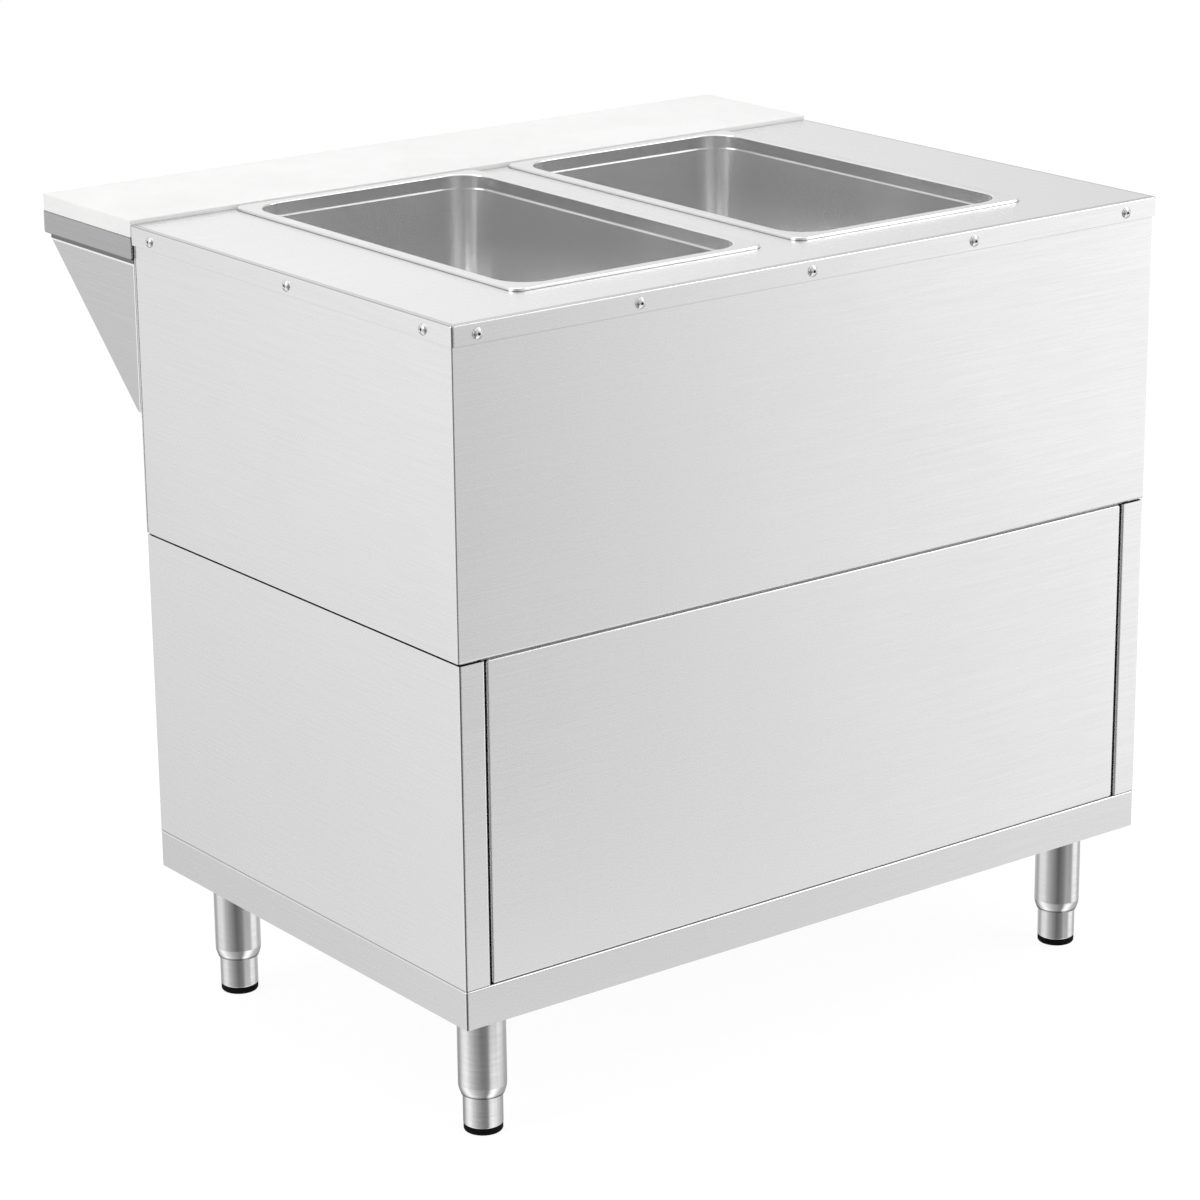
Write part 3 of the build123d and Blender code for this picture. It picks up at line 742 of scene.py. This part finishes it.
def rivet_sites():
    """Where each CAD rivet stands on the lip and which way it faces."""
    low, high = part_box("worktop")
    apart = 40 * MM
    groups = []
    for vertex in frame["nodes"]["lip_rivets"].data.vertices:
        for group in groups:
            if (vertex.co - group[0]).length < apart:
                group.append(vertex.co.copy())
                break
        else:
            groups.append([vertex.co.copy()])
    sites = []
    for group in groups:
        x, y, z = [(min(p[i] for p in group) + max(p[i] for p in group)) / 2 for i in range(3)]
        if min(p.y for p in group) < low[1]:
            sites.append(((x, low[1], z), OUTWARD_FRONT))
        elif x < 0:
            sites.append(((low[0], y, z), OUTWARD_LEFT))
        else:
            sites.append(((high[0], y, z), OUTWARD_RIGHT))
    return sites


def lip_rivets(head):
    """Domed rivets in the lips, in the place of the plain CAD ones."""
    piece = set_fasteners("domed_lip_rivets", head, rivet_sites(), FINISHES["rivet"],
                          "cabinet", 3)
    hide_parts("lip_rivets")


def bracket_screws(head):
    """Screws through each bracket's flanges: into the back panel and up into the shelf."""
    sheet = 1.5 * MM
    sites = []
    for name in ("left", "right"):
        low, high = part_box("board_bracket_" + name)
        x = (low[0] + high[0]) / 2
        for share in (0.25, 0.7):
            z = high[2] - (high[2] - low[2]) * share
            sites.append(((x, low[1] + sheet, z), OUTWARD_BACK))
        for share in (0.35, 0.8):
            y = low[1] + (high[1] - low[1]) * share
            sites.append(((x, y, high[2] - sheet), DOWNWARD))
    set_fasteners("bracket_screws", head, sites, FINISHES["tube"], "cabinet", 5)


def panel_screws(head):
    """Screws along the edges of the control panel."""
    low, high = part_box("control_panel")
    inset = 12 * MM
    side_rows = (30 * MM, 132 * MM)
    sites = []
    for x in (low[0] + inset, high[0] - inset):
        for rise in side_rows:
            sites.append(((x, high[1], low[2] + rise), OUTWARD_BACK))
    for share in (0.2, 0.5, 0.8):
        x = low[0] + (high[0] - low[0]) * share
        sites.append(((x, high[1], low[2] + inset), OUTWARD_BACK))
    set_fasteners("panel_screws", head, sites, FINISHES["tube"], "cabinet", 7)


def plate_bolts(head):
    """Four bolts up through each leg's plate."""
    inset = 10 * MM
    plate = 4 * MM
    sites = []
    for number in range(1, 5):
        low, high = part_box(f"leg_{number}")
        z = high[2] - plate
        for x in (low[0] + inset, high[0] - inset):
            for y in (low[1] + inset, high[1] - inset):
                sites.append(((x, y, z), DOWNWARD))
    set_fasteners("plate_bolts", head, sites, FINISHES["zinc"], "cabinet", 11)


def make_fasteners():
    dome = rivet_outline(radius=6.2 * MM, rise=3.1 * MM, bore=1.7 * MM, depth=2.2 * MM)
    rivet = lathe("rivet_head", dome, steps=32, core=1.6 * MM)
    screw = cross_screw("screw_head", radius=4.2 * MM, rise=2.4 * MM)
    bolt = hex_head("bolt_head", radius=5.2 * MM, height=5.0 * MM)
    lip_rivets(rivet)
    bracket_screws(screw)
    panel_screws(screw)
    plate_bolts(bolt)
    for head in (rivet, screw, bolt):
        bpy.data.objects.remove(head)


# Marks on the controls

def pointer_mark(side):
    """A raised white line along the grip of a knob, from its middle to its tip."""
    low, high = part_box("knob_" + side)
    x = (low[0] + high[0]) / 2
    z = (low[2] + high[2]) / 2
    shape = bmesh.new()
    bmesh.ops.create_cube(shape, size=1.0)
    length, width, thickness = 15 * MM, 1.8 * MM, 1 * MM
    sunk, up_grip = 0.2 * MM, 10 * MM
    scale = Matrix.Diagonal((width, thickness, length, 1.0))
    move = Matrix.Translation((x, high[1] - sunk, z + up_grip))
    bmesh.ops.transform(shape, matrix=move @ scale, verts=shape.verts)
    bmesh.ops.bevel(shape, geom=shape.edges, offset=0.2 * MM, segments=2, affect="EDGES")
    mesh = bpy.data.meshes.new("knob_pointer_" + side)
    shape.to_mesh(mesh)
    shape.free()
    mesh.materials.append(FINISHES["ink"])
    piece = bpy.data.objects.new("knob_pointer_" + side, mesh)
    bpy.context.scene.collection.objects.link(piece)
    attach(piece, "knob_" + side)


# Room, lights and camera

FLOOR_REACH = 14.0
FLOOR_TONE = 0.9
FLOOR_GLOW = 1.06
SHADOW_SHARE = 0.12


def floor_material():
    """A pale floor: even white to the camera but for a share of shadow, and unseen in gloss."""
    recipe = new_recipe("studio_floor")
    matt = recipe.node("ShaderNodeBsdfDiffuse", inputs={"Color": grey(FLOOR_TONE)})
    glow = recipe.node("ShaderNodeEmission", inputs={"Color": grey(1.0), "Strength": FLOOR_GLOW})
    clear = recipe.node("ShaderNodeBsdfTransparent")
    to_camera = recipe.node("ShaderNodeLightPath", output="Is Camera Ray")
    to_gloss = recipe.node("ShaderNodeLightPath", output="Is Glossy Ray")
    seen = recipe.node("ShaderNodeMixShader", inputs={0: to_camera * (1.0 - SHADOW_SHARE), 1: matt, 2: glow})
    return recipe.end_with(recipe.node("ShaderNodeMixShader", inputs={0: to_gloss, 1: seen, 2: clear}))


def make_floor():
    corners = [(-1, -1), (1, -1), (1, 1), (-1, 1)]
    mesh = bpy.data.meshes.new("studio_floor")
    mesh.from_pydata([(x * FLOOR_REACH, y * FLOOR_REACH, 0) for x, y in corners], [], [(0, 1, 2, 3)])
    mesh.materials.append(floor_material())
    floor = bpy.data.objects.new("studio_floor", mesh)
    bpy.context.scene.collection.objects.link(floor)


# What polished metal sees round it. Each panel is its bearing, in degrees from +X toward +Y,
# and its level, and the panels of a ring blend into each other.
FLOOR_PANELS = [(-178, 0.92), (-158, 0.62), (-137, 0.46), (-112, 0.3), (-98, 0.34), (-84, 1.3),
                (-66, 1.6), (-52, 1.25), (-30, 0.7), (20, 0.45), (60, 0.3), (100, 0.4), (124, 0.95),
                (146, 1.4), (160, 1.3)]
LOW_PANELS = [(-178, 0.62), (-158, 0.4), (-128, 0.12), (-104, 0.3), (-84, 0.45), (-68, 0.38), (-56, 0.52),
              (-44, 1.5), (-22, 1.5), (-2, 0.75), (30, 0.85), (80, 0.8), (104, 0.6), (118, 0.84),
              (128, 1.2), (158, 1.15), (172, 0.8)]
HIGH_PANELS = [(-178, 1.0), (-128, 0.4), (-84, 0.9), (-30, 1.0), (20, 0.78), (44, 0.84), (60, 1.1),
               (130, 1.05)]
BRIGHTEST_PANEL = 1.6
CEILING_PANEL = 1.05

# Where one ring gives way to the next, as spans of the upward part of the direction.
FLOOR_LINE = (-0.412, -0.4)
DIM_SPAN = (-0.4, -0.24)
HORIZON = (-0.1, 0.12)
CEILING_LINE = (0.5, 0.85)
DIM_SHARE = 0.76


def bearing(degrees):
    """A compass angle from +X toward +Y as a position on the studio's ramps."""
    return ((degrees + 180.0) % 360.0) / 360.0


def ring(recipe, turn, panels):
    """The levels of one ring of panels, as shares of the brightest."""
    stops = [(bearing(angle), level / BRIGHTEST_PANEL) for angle, level in panels]
    stops.append((1.0, panels[0][1] / BRIGHTEST_PANEL))
    return recipe.ramp(turn, stops)


def studio_panels(recipe):
    """Pale panels round the studio and a dark stretch behind the camera."""
    direction = recipe.node("ShaderNodeTexCoord", output="Generated")
    across, along, up = recipe.axes(direction)
    turn = recipe.node("ShaderNodeMath", {"operation": "ARCTAN2"}, {0: along, 1: across})
    turn = turn / (2 * math.pi) + 0.5
    floor, low, high = [ring(recipe, turn, panels) for panels in (FLOOR_PANELS, LOW_PANELS, HIGH_PANELS)]
    low = low * recipe.spread(up, *DIM_SPAN, DIM_SHARE, 1.0)
    level = recipe.choose(recipe.spread(up, *FLOOR_LINE, 0.0, 1.0), floor, low)
    level = recipe.choose(recipe.spread(up, *HORIZON, 0.0, 1.0), level, high)
    ceiling = CEILING_PANEL / BRIGHTEST_PANEL
    return recipe.choose(recipe.spread(up, *CEILING_LINE, 0.0, 1.0), level, ceiling) * BRIGHTEST_PANEL


ROOM_LEVEL = 0.62


def make_world():
    """White to the camera, panels to gloss and an even room to everything else."""
    world = bpy.data.worlds.new("studio")
    bpy.context.scene.world = world
    recipe = Recipe(world, "ShaderNodeOutputWorld")
    strengths = (1.0, ROOM_LEVEL, studio_panels(recipe))
    backdrop, room, panels = [
        recipe.node("ShaderNodeBackground", inputs={"Color": grey(1.0), "Strength": strength})
        for strength in strengths]
    to_camera = recipe.node("ShaderNodeLightPath", output="Is Camera Ray")
    to_gloss = recipe.node("ShaderNodeLightPath", output="Is Glossy Ray")
    seen = recipe.node("ShaderNodeMixShader", inputs={0: to_gloss, 1: room, 2: panels})
    recipe.end_with(recipe.node("ShaderNodeMixShader", inputs={0: to_camera, 1: seen, 2: backdrop}))


def soft_box(name, place, target, size, power):
    light = bpy.data.lights.new(name, "AREA")
    light.shape = "RECTANGLE"
    light.size, light.size_y = size
    light.energy = power
    lamp = bpy.data.objects.new(name, light)
    lamp.location = place
    lamp.rotation_euler = (Vector(target) - Vector(place)).to_track_quat("-Z", "Y").to_euler()
    bpy.context.scene.collection.objects.link(lamp)


def make_lights():
    soft_box("key_right", (3.6, -3.2, 3.4), (0.2, -0.2, 0.4), (2.6, 2.6), 70.0)
    soft_box("fill_left", (-4.2, 0.4, 2.6), (-0.2, 0.0, 0.5), (2.4, 2.4), 48.0)
    soft_box("overhead", (0.0, 0.6, 4.2), (0.0, 0.0, 0.8), (3.0, 3.0), 30.0)


CAMERA_PLACE = (-2.5997, -3.4314, 1.785)
CAMERA_RIGHT = (0.795362, -0.606055, -0.009847)
CAMERA_FORWARD = (0.575414, 0.760058, -0.30201)
FOCAL_PIXELS = 3925.4
PHOTO_PIXELS = 1200.0


def make_camera():
    """The camera that took the photograph, fitted to the table's corners."""
    data = bpy.data.cameras.new("photo_camera")
    data.sensor_width = 36.0
    data.lens = FOCAL_PIXELS / PHOTO_PIXELS * data.sensor_width
    camera = bpy.data.objects.new("photo_camera", data)
    right = Vector(CAMERA_RIGHT).normalized()
    forward = Vector(CAMERA_FORWARD).normalized()
    up = right.cross(forward)
    turn = Matrix((right, up, -forward)).transposed().to_4x4()
    camera.matrix_world = Matrix.Translation(CAMERA_PLACE) @ turn
    bpy.context.scene.collection.objects.link(camera)
    bpy.context.scene.camera = camera


dress_nodes()
make_fasteners()
for side in ("left", "right"):
    pointer_mark(side)
make_floor()
make_world()
make_lights()
make_camera()
bpy.context.scene.view_settings.view_transform = "Standard"
